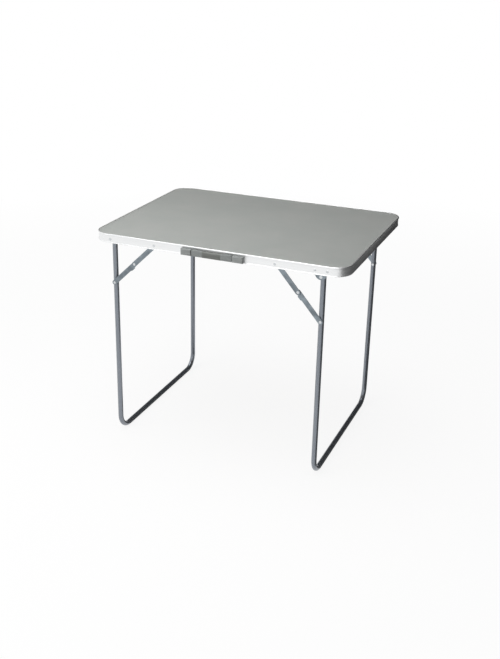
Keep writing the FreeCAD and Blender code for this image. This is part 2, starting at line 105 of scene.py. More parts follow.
def laminate():
    """Melamine: an even satin grey with a fine pressed pebble that breaks up the gloss."""
    material, tree, shader = start_material("melamine_laminate", "#9DA09F", 0.0, 0.46)
    place = add_node(tree, "ShaderNodeTexCoord")
    cloud = add_node(tree, "ShaderNodeTexNoise", {"Scale": 1 / (90 * MM), "Detail": 3.0},
                     {"Vector": (place, "Object")})
    two_tones(tree, shader, cloud, "#999C99", "#9D9F9C")
    # the real pebble is about 0.5 mm; drawn at 1.4 mm so that it shows
    pebble = add_node(tree, "ShaderNodeTexNoise", {"Scale": 1 / (1.4 * MM), "Detail": 2.0},
                      {"Vector": (place, "Object")})
    gloss = add_node(tree, "ShaderNodeMapRange", {"To Min": 0.40, "To Max": 0.52}, {"Value": (pebble, 0)})
    tree.links.new(gloss.outputs[0], shader.inputs["Roughness"])
    raised_grain(tree, shader, pebble, 0.25, 0.05 * MM)
    return material


def hardboard():
    """The bare underside: brown pressed wood fibre with the print of the press screen."""
    material, tree, shader = start_material("raw_hardboard", "#80644A", 0.0, 0.78)
    place = add_node(tree, "ShaderNodeTexCoord")
    fibre = add_node(tree, "ShaderNodeTexNoise", {"Scale": 1 / (6 * MM), "Detail": 8.0, "Roughness": 0.7},
                     {"Vector": (place, "Object")})
    two_tones(tree, shader, fibre, "#71563D", "#8E7258")
    weave_pitch = 2.5 * MM
    weave_x, weave_y = (add_node(tree, "ShaderNodeTexWave",
                                 {"Scale": 1 / weave_pitch / (2 * math.pi) * 2, "bands_direction": way},
                                 {"Vector": (place, "Object")}) for way in ("X", "Y"))
    screen = add_node(tree, "ShaderNodeMath", {"operation": "MULTIPLY"}, {0: (weave_x, 1), 1: (weave_y, 1)})
    raised_grain(tree, shader, screen, 0.5, 0.2 * MM)
    return material


def rounded_outline(half_x, half_y, radius, steps):
    """Points round a rectangle with arc corners, anticlockwise from the middle of its back."""
    points = [(0.0, half_y)]
    for turn, (cx, cy) in enumerate(((-1, 1), (-1, -1), (1, -1), (1, 1))):
        for i in range(steps + 1):
            a = math.pi / 2 * (turn + 1 + i / steps)
            points.append((cx * (half_x - radius) + radius * math.cos(a),
                           cy * (half_y - radius) + radius * math.sin(a)))
    return points


def keep_mesh(obj, name, smooth_angle=35):
    """The object's finished surface as a plain mesh piece at the origin, its helpers removed."""
    bpy.context.view_layer.update()
    done = obj.evaluated_get(bpy.context.evaluated_depsgraph_get())
    mesh = bpy.data.meshes.new_from_object(done)
    mesh.name = name
    old = obj.data
    bpy.data.objects.remove(obj)
    if old.users == 0 and isinstance(old, bpy.types.Mesh):
        bpy.data.meshes.remove(old)
    mesh.shade_smooth()
    mesh.set_sharp_from_angle(angle=math.radians(smooth_angle))
    piece = bpy.data.objects.new(name, mesh)
    bpy.context.scene.collection.objects.link(piece)
    return piece


def object_from(name, mesh_maker):
    """A new mesh object at the origin, filled by the maker."""
    mesh = bpy.data.meshes.new(name)
    work = bmesh.new()
    mesh_maker(work)
    bmesh.ops.recalc_face_normals(work, faces=work.faces)
    work.to_mesh(mesh)
    work.free()
    obj = bpy.data.objects.new(name, mesh)
    bpy.context.scene.collection.objects.link(obj)
    return obj


def ease_edges(obj, width, segments=2, angle=35):
    """A small round on every sharp edge, as cut or moulded edges have."""
    bevel = obj.modifiers.new("eased", "BEVEL")
    bevel.width = width
    bevel.segments = segments
    bevel.limit_method = "ANGLE"
    bevel.angle_limit = math.radians(angle)
    bevel.use_clamp_overlap = True


board_low, board_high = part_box("tabletop_panel")
board_corner = 49.7 * MM


def fill_board(work):
    outline = rounded_outline(board_high.x, board_high.y, board_corner, 14)
    bottom = [work.verts.new((x, y, board_low.z)) for x, y in outline]
    top = [work.verts.new((x, y, board_high.z)) for x, y in outline]
    work.faces.new(top)
    work.faces.new(list(reversed(bottom))).material_index = 1
    for i in range(len(outline)):
        j = (i + 1) % len(outline)
        work.faces.new((bottom[i], bottom[j], top[j], top[i])).material_index = 1


board = object_from("board", fill_board)
board.data.materials.append(laminate())
board.data.materials.append(hardboard())
ease_edges(board, 0.35 * MM)
board = keep_mesh(board, "board")
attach(board, "table_top")
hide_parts("tabletop_panel")

# ---------------------------------------------------------------- rim
# One length of extruded aluminium, anodised and bent round the board with its butt seam at the
# middle of the back. It has a rounded bead at the top, a recessed web, a thin foot bead and a shelf.


def anodised():
    """Clear satin anodising: pale, soft-edged reflections and faint lines left by the die."""
    material, tree, shader = start_material("anodised_aluminium", "#F0F1F1", 1.0, 0.4)
    place = add_node(tree, "ShaderNodeTexCoord")
    # die lines are about 0.1 mm apart; drawn at 0.5 mm across and very long along the bar
    stretch = add_node(tree, "ShaderNodeMapping", {"Scale": (3.0, 3.0, 1 / (0.5 * MM))},
                       {"Vector": (place, "Object")})
    lines = add_node(tree, "ShaderNodeTexNoise", {"Scale": 1.0, "Detail": 2.0}, {"Vector": (stretch, 0)})
    gloss = add_node(tree, "ShaderNodeMapRange", {"To Min": 0.34, "To Max": 0.46}, {"Value": (lines, 0)})
    tree.links.new(gloss.outputs[0], shader.inputs["Roughness"])
    two_tones(tree, shader, lines, "#EBECED", "#F4F5F5")
    raised_grain(tree, shader, lines, 0.05, 0.01 * MM)
    return material


def arc(cx, cy, radius, start, finish, steps):
    """Points on an arc between two angles in degrees."""
    turns = [math.radians(start + (finish - start) * i / steps) for i in range(steps + 1)]
    return [(cx + radius * math.cos(a), cy + radius * math.sin(a)) for a in turns]


def helper_curve(name, points, closed):
    """A straight-sided curve that a node tree reads and that is removed afterwards."""
    curve = bpy.data.curves.new(name, "CURVE")
    curve.dimensions = "3D"
    spline = curve.splines.new("POLY")
    spline.points.add(len(points) - 1)
    for point, place in zip(spline.points, points):
        point.co = (*place, 1.0)
    spline.use_cyclic_u = closed
    obj = bpy.data.objects.new(name, curve)
    bpy.context.scene.collection.objects.link(obj)
    return obj


def sweep_tree():
    """Node tree: a section drawn along a path, shaded and given its material."""
    tree = bpy.data.node_groups.new("section along path", "GeometryNodeTree")
    for name, kind in (("Path", "NodeSocketObject"), ("Section", "NodeSocketObject"),
                       ("Finish", "NodeSocketMaterial")):
        tree.interface.new_socket(name, in_out="INPUT", socket_type=kind)
    tree.interface.new_socket("Geometry", in_out="OUTPUT", socket_type="NodeSocketGeometry")
    given = add_node(tree, "NodeGroupInput")
    path = add_node(tree, "GeometryNodeObjectInfo", {}, {"Object": (given, "Path")})
    section = add_node(tree, "GeometryNodeObjectInfo", {}, {"Object": (given, "Section")})
    upright = add_node(tree, "GeometryNodeSetCurveNormal", {"mode": "Z_UP"}, {"Curve": (path, "Geometry")})
    swept = add_node(tree, "GeometryNodeCurveToMesh", {"Fill Caps": True},
                     {"Curve": (upright, 0), "Profile Curve": (section, "Geometry")})
    real = add_node(tree, "GeometryNodeRealizeInstances", {}, {0: (swept, 0)})
    done = add_node(tree, "GeometryNodeSetMaterial", {},
                    {"Geometry": (real, 0), "Material": (given, "Finish")})
    add_node(tree, "NodeGroupOutput", {}, {0: (done, 0)})
    return tree


def give(modifier, **values):
    """Set a node tree's inputs by their names."""
    for item in modifier.node_group.interface.items_tree:
        if item.in_out == "INPUT" and item.name in values:
            modifier[item.identifier] = values[item.name]


def swept(name, path, section, finish, closed_section=True, smooth_angle=35):
    """A piece made by drawing a closed section along an open path."""
    path_curve = helper_curve(name + "_path", path, False)
    section_curve = helper_curve(name + "_section", [(x, y, 0.0) for x, y in section], closed_section)
    holder = bpy.data.objects.new(name + "_holder", bpy.data.meshes.new(name + "_holder"))
    bpy.context.scene.collection.objects.link(holder)
    modifier = holder.modifiers.new("sweep", "NODES")
    modifier.node_group = along_path
    give(modifier, Path=path_curve, Section=section_curve, Finish=finish)
    piece = keep_mesh(holder, name, smooth_angle)
    for helper in (path_curve, section_curve):
        curve = helper.data
        bpy.data.objects.remove(helper)
        bpy.data.curves.remove(curve)
    work = bmesh.new()
    work.from_mesh(piece.data)
    bmesh.ops.recalc_face_normals(work, faces=work.faces)
    work.to_mesh(piece.data)
    work.free()
    return piece


along_path = sweep_tree()
rim_low, rim_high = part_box("rim_frame")
rim_corner = 53.0 * MM
seam_gap = 0.4 * MM
web_out = 1.8 * MM
lip_in = 3.0 * MM
shelf_in = 18.0 * MM


def rim_section():
    """Distance in from the outermost line against height, going round the extrusion."""
    top, foot = rim_high.z, rim_low.z
    shelf_top = board_low.z
    shelf_under = shelf_top - 1.2 * MM
    bead_r = 1.9 * MM
    bead_low = top - 5.8 * MM
    points = [(lip_in, top - 0.3 * MM), (lip_in, shelf_top), (shelf_in - 0.3 * MM, shelf_top)]
    points += [(shelf_in, shelf_top - 0.3 * MM), (shelf_in, shelf_under)]
    points += [(lip_in + 0.6 * MM, shelf_under), (lip_in, shelf_under - 0.6 * MM)]
    points += [(lip_in, foot + 0.3 * MM), (lip_in - 0.3 * MM, foot)]
    points += arc(web_out, foot + 1.2 * MM, 1.2 * MM, 270, 110, 7)
    points += [(web_out, foot + 3.0 * MM), (web_out, bead_low)]
    points += arc(bead_r, bead_low + 0.3 * MM + bead_r, bead_r, 235, 180, 4)
    points += arc(bead_r, top - bead_r, bead_r, 180, 90, 7)
    points += [(lip_in - 0.3 * MM, top)]
    return points


middle = rim_high.z / 2 + rim_low.z / 2
rim_path = rounded_outline(rim_high.x, rim_high.y, rim_corner, 18)[1:]
rim_path = [(-seam_gap / 2, rim_high.y)] + rim_path + [(seam_gap / 2, rim_high.y)]
rim_finish = anodised()
rim = swept("rim", [(x, y, middle) for x, y in rim_path],
            [(-inset, middle - z) for inset, z in rim_section()], rim_finish)
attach(rim, "table_top")
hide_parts("rim_frame")

# ---------------------------------------------------------------- flat steel parts
# The joiner plate behind the rim's seam and the two low pivot brackets are punched from zinc-plated
# strip, so their edges are slightly rolled and their faces keep the faint lines of the mill.


def zinc_plate():
    """Bright zinc: a cool grey metal, cloudy where the plating took unevenly."""
    material, tree, shader = start_material("zinc_plated_steel", "#868E94", 1.0, 0.34)
    place = add_node(tree, "ShaderNodeTexCoord")
    cloud = add_node(tree, "ShaderNodeTexNoise", {"Scale": 1 / (30 * MM), "Detail": 4.0},
                     {"Vector": (place, "Object")})
    two_tones(tree, shader, cloud, "#757D83", "#959FA6")
    mill = add_node(tree, "ShaderNodeTexNoise", {"Scale": 1 / (1.6 * MM), "Detail": 2.0},
                    {"Vector": (place, "Object")})
    gloss = add_node(tree, "ShaderNodeMapRange", {"To Min": 0.22, "To Max": 0.38}, {"Value": (mill, 0)})
    tree.links.new(gloss.outputs[0], shader.inputs["Roughness"])
    raised_grain(tree, shader, mill, 0.12, 0.03 * MM)
    return material


def eased_copy(node, name, width, finish, body):
    """A punched or moulded part: its made shape with its sharp edges taken off."""
    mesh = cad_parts[node].data.copy()
    work = bmesh.new()
    work.from_mesh(mesh)
    bmesh.ops.remove_doubles(work, verts=work.verts, dist=0.002 * MM)
    bmesh.ops.dissolve_limit(work, angle_limit=math.radians(1.5), verts=work.verts, edges=work.edges)
    work.to_mesh(mesh)
    work.free()
    mesh.materials.clear()
    mesh.materials.append(finish)
    obj = bpy.data.objects.new(name, mesh)
    bpy.context.scene.collection.objects.link(obj)
    ease_edges(obj, width)
    piece = keep_mesh(obj, name)
    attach(piece, body)
    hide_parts(node)
    return piece


zinc = zinc_plate()
eased_copy("rim_joiner_plate", "joiner_plate", 0.25 * MM, zinc, "table_top")
for end in ("front", "back"):
    eased_copy("right_bracket_" + end, "pivot_bracket_" + end, 0.3 * MM, zinc, "table_top")

# ---------------------------------------------------------------- rivets, sleeves and washers
# Turned from steel wire and bar, bright plated. Each rivet is domed on the outside, and closed over
# flat on the inside once its sleeve or washer and the strip or tube are on it.


def rivet_steel():
    """Bright plated rivet steel: sharp small highlights, slightly scuffed by the setting tool."""
    material, tree, shader = start_material("bright_rivet_steel", "#D2D5D7", 1.0, 0.2)
    place = add_node(tree, "ShaderNodeTexCoord")
    scuff = add_node(tree, "ShaderNodeTexNoise", {"Scale": 1 / (0.9 * MM), "Detail": 3.0},
                     {"Vector": (place, "Object")})
    gloss = add_node(tree, "ShaderNodeMapRange", {"To Min": 0.15, "To Max": 0.32}, {"Value": (scuff, 0)})
    tree.links.new(gloss.outputs[0], shader.inputs["Roughness"])
    return material


def places_tree():
    """Node tree: a turned part set at each point, turned to face out on its side of the table."""
    tree = bpy.data.node_groups.new("turned part at places", "GeometryNodeTree")
    tree.interface.new_socket("Geometry", in_out="INPUT", socket_type="NodeSocketGeometry")
    tree.interface.new_socket("Part", in_out="INPUT", socket_type="NodeSocketObject")
    tree.interface.new_socket("Finish", in_out="INPUT", socket_type="NodeSocketMaterial")
    tree.interface.new_socket("Geometry", in_out="OUTPUT", socket_type="NodeSocketGeometry")
    given = add_node(tree, "NodeGroupInput")
    part = add_node(tree, "GeometryNodeObjectInfo", {}, {"Object": (given, "Part")})
    spot = add_node(tree, "GeometryNodeInputPosition")
    split = add_node(tree, "ShaderNodeSeparateXYZ", {}, {0: (spot, 0)})
    front = add_node(tree, "FunctionNodeCompare", {"operation": "LESS_THAN"}, {0: (split, 1)})
    half_turn = add_node(tree, "ShaderNodeMath", {"operation": "MULTIPLY", 1: math.pi}, {0: (front, 0)})
    turn = add_node(tree, "ShaderNodeCombineXYZ", {}, {2: (half_turn, 0)})
    flat = add_node(tree, "ShaderNodeVectorMath", {"operation": "MULTIPLY", 1: (1.0, 0.0, 1.0)},
                    {0: (spot, 0)})
    cloud = add_node(tree, "GeometryNodeMeshToPoints", {}, {0: (given, "Geometry")})
    copies = add_node(tree, "GeometryNodeInstanceOnPoints", {},
                      {"Points": (cloud, 0), "Instance": (part, "Geometry"), "Rotation": (turn, 0)})
    moved = add_node(tree, "GeometryNodeSetPosition", {}, {"Geometry": (copies, 0), "Position": (flat, 0)})
    real = add_node(tree, "GeometryNodeRealizeInstances", {}, {0: (moved, 0)})
    done = add_node(tree, "GeometryNodeSetMaterial", {},
                    {"Geometry": (real, 0), "Material": (given, "Finish")})
    add_node(tree, "NodeGroupOutput", {}, {0: (done, 0)})
    return tree


def turned_parts(name, body, node, outline, places):
    """Lathe an outline of (radius, distance out) and set it at each (x, side, z) place."""
    def spin(work):
        line = [work.verts.new((r, d, 0.0)) for r, d in outline]
        edges = [work.edges.new(pair) for pair in zip(line, line[1:])]
        if outline[0][0] > 0:
            edges.append(work.edges.new((line[-1], line[0])))
        bmesh.ops.spin(work, geom=line + edges, cent=(0, 0, 0), axis=(0, 1, 0), angle=2 * math.pi, steps=24)
        bmesh.ops.remove_doubles(work, verts=work.verts, dist=0.001 * MM)

    part = object_from(name + "_part", spin)
    holder = object_from(name + "_places", lambda work: [work.verts.new(p) for p in places])
    modifier = holder.modifiers.new("set", "NODES")
    modifier.node_group = at_places
    give(modifier, Part=part, Finish=bright_steel)
    piece = keep_mesh(holder, name, 40)
    mesh = part.data
    bpy.data.objects.remove(part)
    bpy.data.meshes.remove(mesh)
    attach(piece, body)
    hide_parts(node)
    return piece


def across(node, side):
    """How near the middle and how far out a part reaches on one long side."""
    reach = [side * v.co.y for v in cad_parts[node].data.vertices if side * v.co.y > 0]
    return min(reach), max(reach)


def dome(radius, face, height, steps=6):
    """The outline of a domed head that stands on a face."""
    ball = (radius**2 + height**2) / (2 * height)
    spread = math.asin(radius / ball)
    turns = [spread * (1 - i / steps) for i in range(steps + 1)]
    return [(ball * math.sin(a), face + height - ball * (1 - math.cos(a))) for a in turns]


def rivet_outline(near, far, shank, over, tail, head):
    """A rivet from its flat tail to its domed head, with eased edges."""
    ease = 0.25 * MM
    points = [(0.0, near), (over - ease, near), (over, near + ease), (over, near + tail)]
    points += [(shank, near + tail), (shank, far - head), (over, far - head)]
    return points + dome(over, far - head, head)[1:-1] + [(0.0, far)]


def ring_outline(near, far, bore, outside):
    """A sleeve or washer with eased edges."""
    ease = 0.2 * MM
    return [(bore, near), (outside - ease, near), (outside, near + ease), (outside, far - ease),
            (outside - ease, far), (bore, far)]


def middles(node):
    """The height and the outermost axis positions of a row of like rivets."""
    low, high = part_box(node)
    over = (high.z - low.z) / 2
    return low.x + over, high.x - over, (low.z + high.z) / 2, over


bright_steel = rivet_steel()
at_places = places_tree()
thin_tail = 0.8 * MM
full_tail = 1.6 * MM
fix_shank = 2.0 * MM
pivot_shank = 3.0 * MM
brace_shank = 2.5 * MM
both = (-1, 1)

near, far = across("rim_joiner_rivets", 1)
first, last, z, over = middles("rim_joiner_rivets")
joiner_xs = [first, first * 0.4, last * 0.4, last]
turned_parts("joiner_rivets", "table_top", "rim_joiner_rivets",
             rivet_outline(near, far, fix_shank, over, thin_tail, full_tail), [(x, 1, z) for x in joiner_xs])

near, far = across("bracket_rivets", 1)
first, last, z, over = middles("bracket_rivets")
turned_parts("bracket_rivet_set", "table_top", "bracket_rivets",
             rivet_outline(near, far, fix_shank, over, thin_tail, full_tail),
             [(x, side, z) for x in (first, last) for side in both])

for hand in ("left", "right"):
    node = hand + "_pivot_rivets"
    near, far = across(node, 1)
    x, _, z, over = middles(node)
    turned_parts(hand + "_leg_axles", "table_top", node,
                 rivet_outline(near, far, pivot_shank, over, full_tail, full_tail), [(x, s, z) for s in both])
    node = hand + "_pivot_sleeves"
    near, far = across(node, 1)
    x, _, z, outside = middles(node)
    turned_parts(hand + "_axle_sleeves", "table_top", node,
                 ring_outline(near, far, pivot_shank + 0.06 * MM, outside), [(x, s, z) for s in both])
    node = hand + "_rim_brace_rivets"
    near, far = across(node, 1)
    x, _, z, over = middles(node)
    turned_parts(hand + "_brace_top_rivets", "table_top", node,
                 rivet_outline(near, far, brace_shank, over, thin_tail, full_tail), [(x, s, z) for s in both])
    node = hand + "_rim_brace_sleeves"
    near, far = across(node, 1)
    x, _, z, outside = middles(node)
    turned_parts(hand + "_brace_top_sleeves", "table_top", node,
                 ring_outline(near, far, brace_shank + 0.06 * MM, outside), [(x, s, z) for s in both])
    node = hand + "_leg_brace_rivets"
    near, far = across(node, 1)
    x, _, z, over = middles(node)
    turned_parts(hand + "_brace_foot_rivets", hand + "_leg", node,
                 rivet_outline(near, far, brace_shank, over, thin_tail, thin_tail), [(x, s, z) for s in both])
    node = hand + "_leg_brace_washers"
    near, far = across(node, 1)
    x, _, z, outside = middles(node)
    turned_parts(hand + "_brace_foot_washers", hand + "_leg", node,
                 ring_outline(near, far, brace_shank + 0.06 * MM, outside), [(x, s, z) for s in both])

# ---------------------------------------------------------------- carrying handle
# Two moulded caps are screwed to the front of the rim from inside. A springy strap slides in them,
# with a soft grip moulded round its middle, and it bows outwards when it is pulled.


def polypropylene(name, dark, light, grain):
    """Moulded polypropylene: flat grey with a fine spark-eroded grain and soft highlights."""
    material, tree, shader = start_material(name, light, 0.0, 0.5)
    place = add_node(tree, "ShaderNodeTexCoord")
    spark = add_node(tree, "ShaderNodeTexNoise", {"Scale": 1 / grain, "Detail": 3.0},
                     {"Vector": (place, "Object")})
    two_tones(tree, shader, spark, dark, light)
    gloss = add_node(tree, "ShaderNodeMapRange", {"To Min": 0.42, "To Max": 0.6}, {"Value": (spark, 0)})
    tree.links.new(gloss.outputs[0], shader.inputs["Roughness"])
    raised_grain(tree, shader, spark, 0.3, 0.06 * MM)
    return material


cap_grey = polypropylene("moulded_cap_grey", "#7F8281", "#868988", 0.8 * MM)
grip_grey = polypropylene("moulded_grip_grey", "#757877", "#7C807F", 0.8 * MM)
pad_grey = polypropylene("soft_pad_grey", "#636562", "#6B6D6A", 0.7 * MM)
for hand in ("left", "right"):
    eased_copy("handle_cap_" + hand, "strap_cap_" + hand, 0.5 * MM, cap_grey, "table_top")
eased_copy("handle_screws", "cap_screws", 0.3 * MM, bright_steel, "table_top")

grip_low, grip_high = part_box("handle_grip")
strap_low, strap_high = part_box("handle_strap")
pad_half = 29.0 * MM
hub_start = 45.0 * MM
hub_end = grip_high.x - 1.2 * MM
scoop = 1.2 * MM


def grip_top(x):
    """The grip's top edge dips in a shallow curve between the two hubs."""
    along = min(abs(x) / hub_start, 1.0)
    return grip_high.z - scoop * (1 - along**2)


def grip_ring(x, inset=0.0):
    """The grip's rounded section at one place along it, a ring of points in the YZ plane."""
    top = grip_top(x) - inset
    low = grip_low.z + inset
    back = grip_high.y - inset
    front = grip_low.y + inset
    dip = (grip_high.z - grip_top(x)) / scoop
    soft = (1.2 + 3.8 * dip) * MM
    ring = []
    for cy, cz, radius, start in ((front, top, soft, 180), (back, top, 1.0 * MM, 90),
                                  (back, low, 1.0 * MM, 0), (front, low, 1.2 * MM, -90)):
        inward_y = radius if cy == front else -radius
        inward_z = -radius if cz == top else radius
        ring += [(y, z) for y, z in arc(cy + inward_y, cz + inward_z, radius, start, start - 90, 5)]
    return ring


def loft(work, stations):
    """Join rings of points at places along X, closing both ends."""
    rings = [[work.verts.new((x, y, z)) for y, z in ring] for x, ring in stations]
    for a, b in zip(rings, rings[1:]):
        for i in range(len(a)):
            j = (i + 1) % len(a)
            work.faces.new((a[i], a[j], b[j], b[i]))
    work.faces.new(rings[0])
    work.faces.new(list(reversed(rings[-1])))


def pad_stations():
    return [(pad_half * k / 8, grip_ring(pad_half * k / 8)) for k in range(-8, 9)]


pad = object_from("grip_pad", lambda work: loft(work, pad_stations()))
pad.data.materials.append(pad_grey)
pad.data.shade_smooth()
pad.data.set_sharp_from_angle(angle=math.radians(40))
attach(pad, "handle")
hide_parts("handle_grip")


def ribs_tree():
    """Node tree: ribs at an even pitch along X."""
    tree = bpy.data.node_groups.new("ribs along the pad", "GeometryNodeTree")
    for name, kind in (("Rib", "NodeSocketObject"), ("Count", "NodeSocketInt"), ("Start", "NodeSocketVector"),
                       ("Pitch", "NodeSocketVector"), ("Finish", "NodeSocketMaterial")):
        tree.interface.new_socket(name, in_out="INPUT", socket_type=kind)
    tree.interface.new_socket("Geometry", in_out="OUTPUT", socket_type="NodeSocketGeometry")
    given = add_node(tree, "NodeGroupInput")
    row = add_node(tree, "GeometryNodeMeshLine", {},
                   {"Count": (given, "Count"), "Start Location": (given, "Start"),
                    "Offset": (given, "Pitch")})
    rib = add_node(tree, "GeometryNodeObjectInfo", {}, {"Object": (given, "Rib")})
    copies = add_node(tree, "GeometryNodeInstanceOnPoints", {},
                      {"Points": (row, 0), "Instance": (rib, "Geometry")})
    real = add_node(tree, "GeometryNodeRealizeInstances", {}, {0: (copies, 0)})
    done = add_node(tree, "GeometryNodeSetMaterial", {},
                    {"Geometry": (real, 0), "Material": (given, "Finish")})
    add_node(tree, "NodeGroupOutput", {}, {0: (done, 0)})
    return tree


rib_pitch = 2.9 * MM
rib_width = 1.5 * MM
rib_proud = 0.45 * MM
rib_count = 19


def fill_rib(work):
    """A low rounded rib down the front of the pad."""
    half_height = (grip_high.z - scoop - grip_low.z) / 2 - 3.4 * MM
    outline = arc(0, half_height - rib_width / 2, rib_width / 2, 0, 180, 6)
    outline += arc(0, -half_height + rib_width / 2, rib_width / 2, 180, 360, 6)
    back = [work.verts.new((x, 0.3 * MM, z)) for x, z in outline]
    crest = [work.verts.new((x * 0.55, -rib_proud, z - math.copysign(0.3 * MM, z))) for x, z in outline]
    work.faces.new(crest)
    work.faces.new(list(reversed(back)))
    for i in range(len(outline)):
        j = (i + 1) % len(outline)
        work.faces.new((back[i], back[j], crest[j], crest[i]))


rib = object_from("rib_part", fill_rib)
holder = bpy.data.objects.new("rib_holder", bpy.data.meshes.new("rib_holder"))
bpy.context.scene.collection.objects.link(holder)
modifier = holder.modifiers.new("ribs", "NODES")
modifier.node_group = ribs_tree()
rib_middle = (grip_low.z + grip_high.z - scoop) / 2 - 0.6 * MM
give(modifier, Rib=rib, Count=rib_count, Finish=pad_grey, Pitch=(rib_pitch, 0.0, 0.0),
     Start=(-rib_pitch * (rib_count - 1) / 2, grip_low.y, rib_middle))
ribs = keep_mesh(holder, "grip_ribs", 50)
bpy.data.objects.remove(rib)
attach(ribs, "handle")


def strap_end(work, side):
    """The stiff hub beside the pad, then the thin tail that slides in the cap, coloured near-black as painted
    shade of the gap.
    """
    xs = [pad_half + (hub_end - pad_half) * k / 12 for k in range(13)]
    loft(work, [(side * x, grip_ring(x, 0.15 * MM)) for x in xs])
    tail = [(strap_low.y, strap_low.z), (strap_high.y, strap_low.z), (strap_high.y, strap_high.z),
            (strap_low.y, strap_high.z)]
    tail_xs = [hub_end - 4 * MM + (strap_high.x - hub_end + 4 * MM) * k / 6 for k in range(7)]
    hub_faces = len(work.faces)
    loft(work, [(side * x, tail) for x in tail_xs])
    work.faces.ensure_lookup_table()
    for face in work.faces[hub_faces:]:
        face.material_index = 1


# The tail's near-black is painted shade: it stands in for the shadowed gap where the strap enters the cap.
strap_black = polypropylene("strap_black", "#202221", "#282A29", 0.8 * MM)
for hand, side in (("left", -1), ("right", 1)):
    piece = object_from("strap_end_" + hand, lambda work: strap_end(work, side))
    piece.data.materials.append(grip_grey)
    piece.data.materials.append(strap_black)
    piece.data.shade_smooth()
    piece.data.set_sharp_from_angle(angle=math.radians(40))
    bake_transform(piece)
    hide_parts("handle_strap")

# ---------------------------------------------------------------- leg frames
# Each is one length of round steel tube bent to a U, with its open ends up inside the rim, and
# stoved with a grey metallic enamel after bending.


def enamel():
    """Metallic grey enamel: a darkish grey with a clear gloss and a slight orange peel."""
    material, tree, shader = start_material("grey_metallic_enamel", "#83898F", 0.8, 0.3)
    shader.inputs["Coat Weight"].default_value = 0.35
    shader.inputs["Coat Roughness"].default_value = 0.12
    place = add_node(tree, "ShaderNodeTexCoord")
    flake = add_node(tree, "ShaderNodeTexNoise", {"Scale": 1 / (1.1 * MM), "Detail": 2.0},
                     {"Vector": (place, "Object")})
    two_tones(tree, shader, flake, "#7D8289", "#8A9098")
    peel = add_node(tree, "ShaderNodeTexNoise", {"Scale": 1 / (3.5 * MM), "Detail": 1.0},
                    {"Vector": (place, "Object")})
    gloss = add_node(tree, "ShaderNodeMapRange", {"To Min": 0.26, "To Max": 0.36}, {"Value": (peel, 0)})
    tree.links.new(gloss.outputs[0], shader.inputs["Roughness"])
    raised_grain(tree, shader, peel, 0.15, 0.05 * MM)
    return material


def drill(piece, holes, reach):
    """Cross holes through a piece along Y, from (x, z, radius), reaching as far each way."""
    def fill(work):
        for x, z, radius in holes:
            place = Matrix.Translation((x, 0, z)) @ Matrix.Rotation(math.pi / 2, 4, "X")
            bmesh.ops.create_cone(work, cap_ends=True, segments=32, radius1=radius, radius2=radius,
                                  depth=2 * reach, matrix=place)

    cutter = object_from("drill", fill)
    cut = piece.modifiers.new("holes", "BOOLEAN")
    cut.operation = "DIFFERENCE"
    cut.solver = "EXACT"
    cut.object = cutter
    drilled = keep_mesh(piece, piece.name)
    bpy.data.objects.remove(cutter)
    return drilled


leg_grey = enamel()
running_clear = 0.15 * MM
tube_r = 8.0 * MM
tube_wall = 1.0 * MM
bend_r = 50.0 * MM
for hand in ("left", "right"):
    node = hand + "_leg_frame"
    low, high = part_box(node)
    x = (low.x + high.x) / 2
    axle_y = high.y - tube_r
    floor_z = low.z + tube_r
    bend_y, bend_z = axle_y - bend_r, floor_z + bend_r
    route = [(x, -axle_y, high.z)]
    route += [(x, y, z) for y, z in arc(-bend_y, bend_z, bend_r, 180, 270, 16)]
    route += [(x, y, z) for y, z in arc(bend_y, bend_z, bend_r, 270, 360, 16)]
    route += [(x, axle_y, high.z)]
    circle = [(tube_r * math.cos(2 * math.pi * i / 40),
               tube_r * math.sin(2 * math.pi * i / 40)) for i in range(40)]
    legs = swept(hand + "_leg_tube", route, circle, leg_grey)
    work = bmesh.new()
    work.from_mesh(legs.data)
    work.faces.ensure_lookup_table()
    bmesh.ops.delete(work, geom=[f for f in work.faces if len(f.verts) > 4], context="FACES")
    work.to_mesh(legs.data)
    work.free()
    wall = legs.modifiers.new("wall", "SOLIDIFY")
    wall.thickness = tube_wall
    wall.offset = -1.0
    legs = keep_mesh(legs, hand + "_leg_tube")
    axle_x, _, axle_z, _ = middles(hand + "_pivot_rivets")
    brace_x, _, brace_z, _ = middles(hand + "_leg_brace_rivets")
    legs = drill(legs, [(axle_x, axle_z, pivot_shank + running_clear),
                        (brace_x, brace_z, brace_shank + running_clear)], high.y + tube_r)
    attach(legs, hand + "_leg")
    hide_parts(node)

# ---------------------------------------------------------------- folding braces
# Four zinc-plated strip braces, each of two halves pinned at the knee. The leg half has a stop ear on
# its lower edge and a pressed detent that holds the brace straight.

for hand in ("left", "right"):
    for end, side in (("front", -1), ("back", 1)):
        stem = hand + "_" + end + "_"
        for part in ("upper_strut", "lower_strut"):
            eased_copy(stem + part, stem + part.replace("strut", "strip"), 0.3 * MM, zinc, stem + part)
        node = stem + "knee_rivet_outer"
        near, far = across(node, side)
        x, _, z, over = middles(node)
        turned_parts(stem + "knee_head", stem + "upper_strut", node,
                     rivet_outline(near, far, brace_shank, over, thin_tail, 1.2 * MM), [(x, side, z)])
        node = stem + "knee_rivet_inner"
        near, far = across(node, side)
        turned_parts(stem + "knee_tail", stem + "lower_strut", node,
                     rivet_outline(near, far, brace_shank, over, thin_tail, thin_tail), [(x, side, z)])

# ---------------------------------------------------------------- studio
# A pale one-sided floor and backdrop, a large soft light in front and to the left, and another above.
# Dark cards to the right, behind and by the floor bars are seen only by reflections; they glow dimly, more
# towards the front, as painted dark reflections on the metal.


def shown_to(tree, parts=("Is Camera Ray", "Is Glossy Ray", "Is Transmission Ray")):
    """1 for the rays that show the background itself."""
    light_path = add_node(tree, "ShaderNodeLightPath")
    total = None
    for part in parts:
        if total is None:
            total = (light_path, part)
        else:
            step = add_node(tree, "ShaderNodeMath", {"operation": "MAXIMUM"},
                            {0: total, 1: (light_path, part)})
            total = (step, 0)
    return total


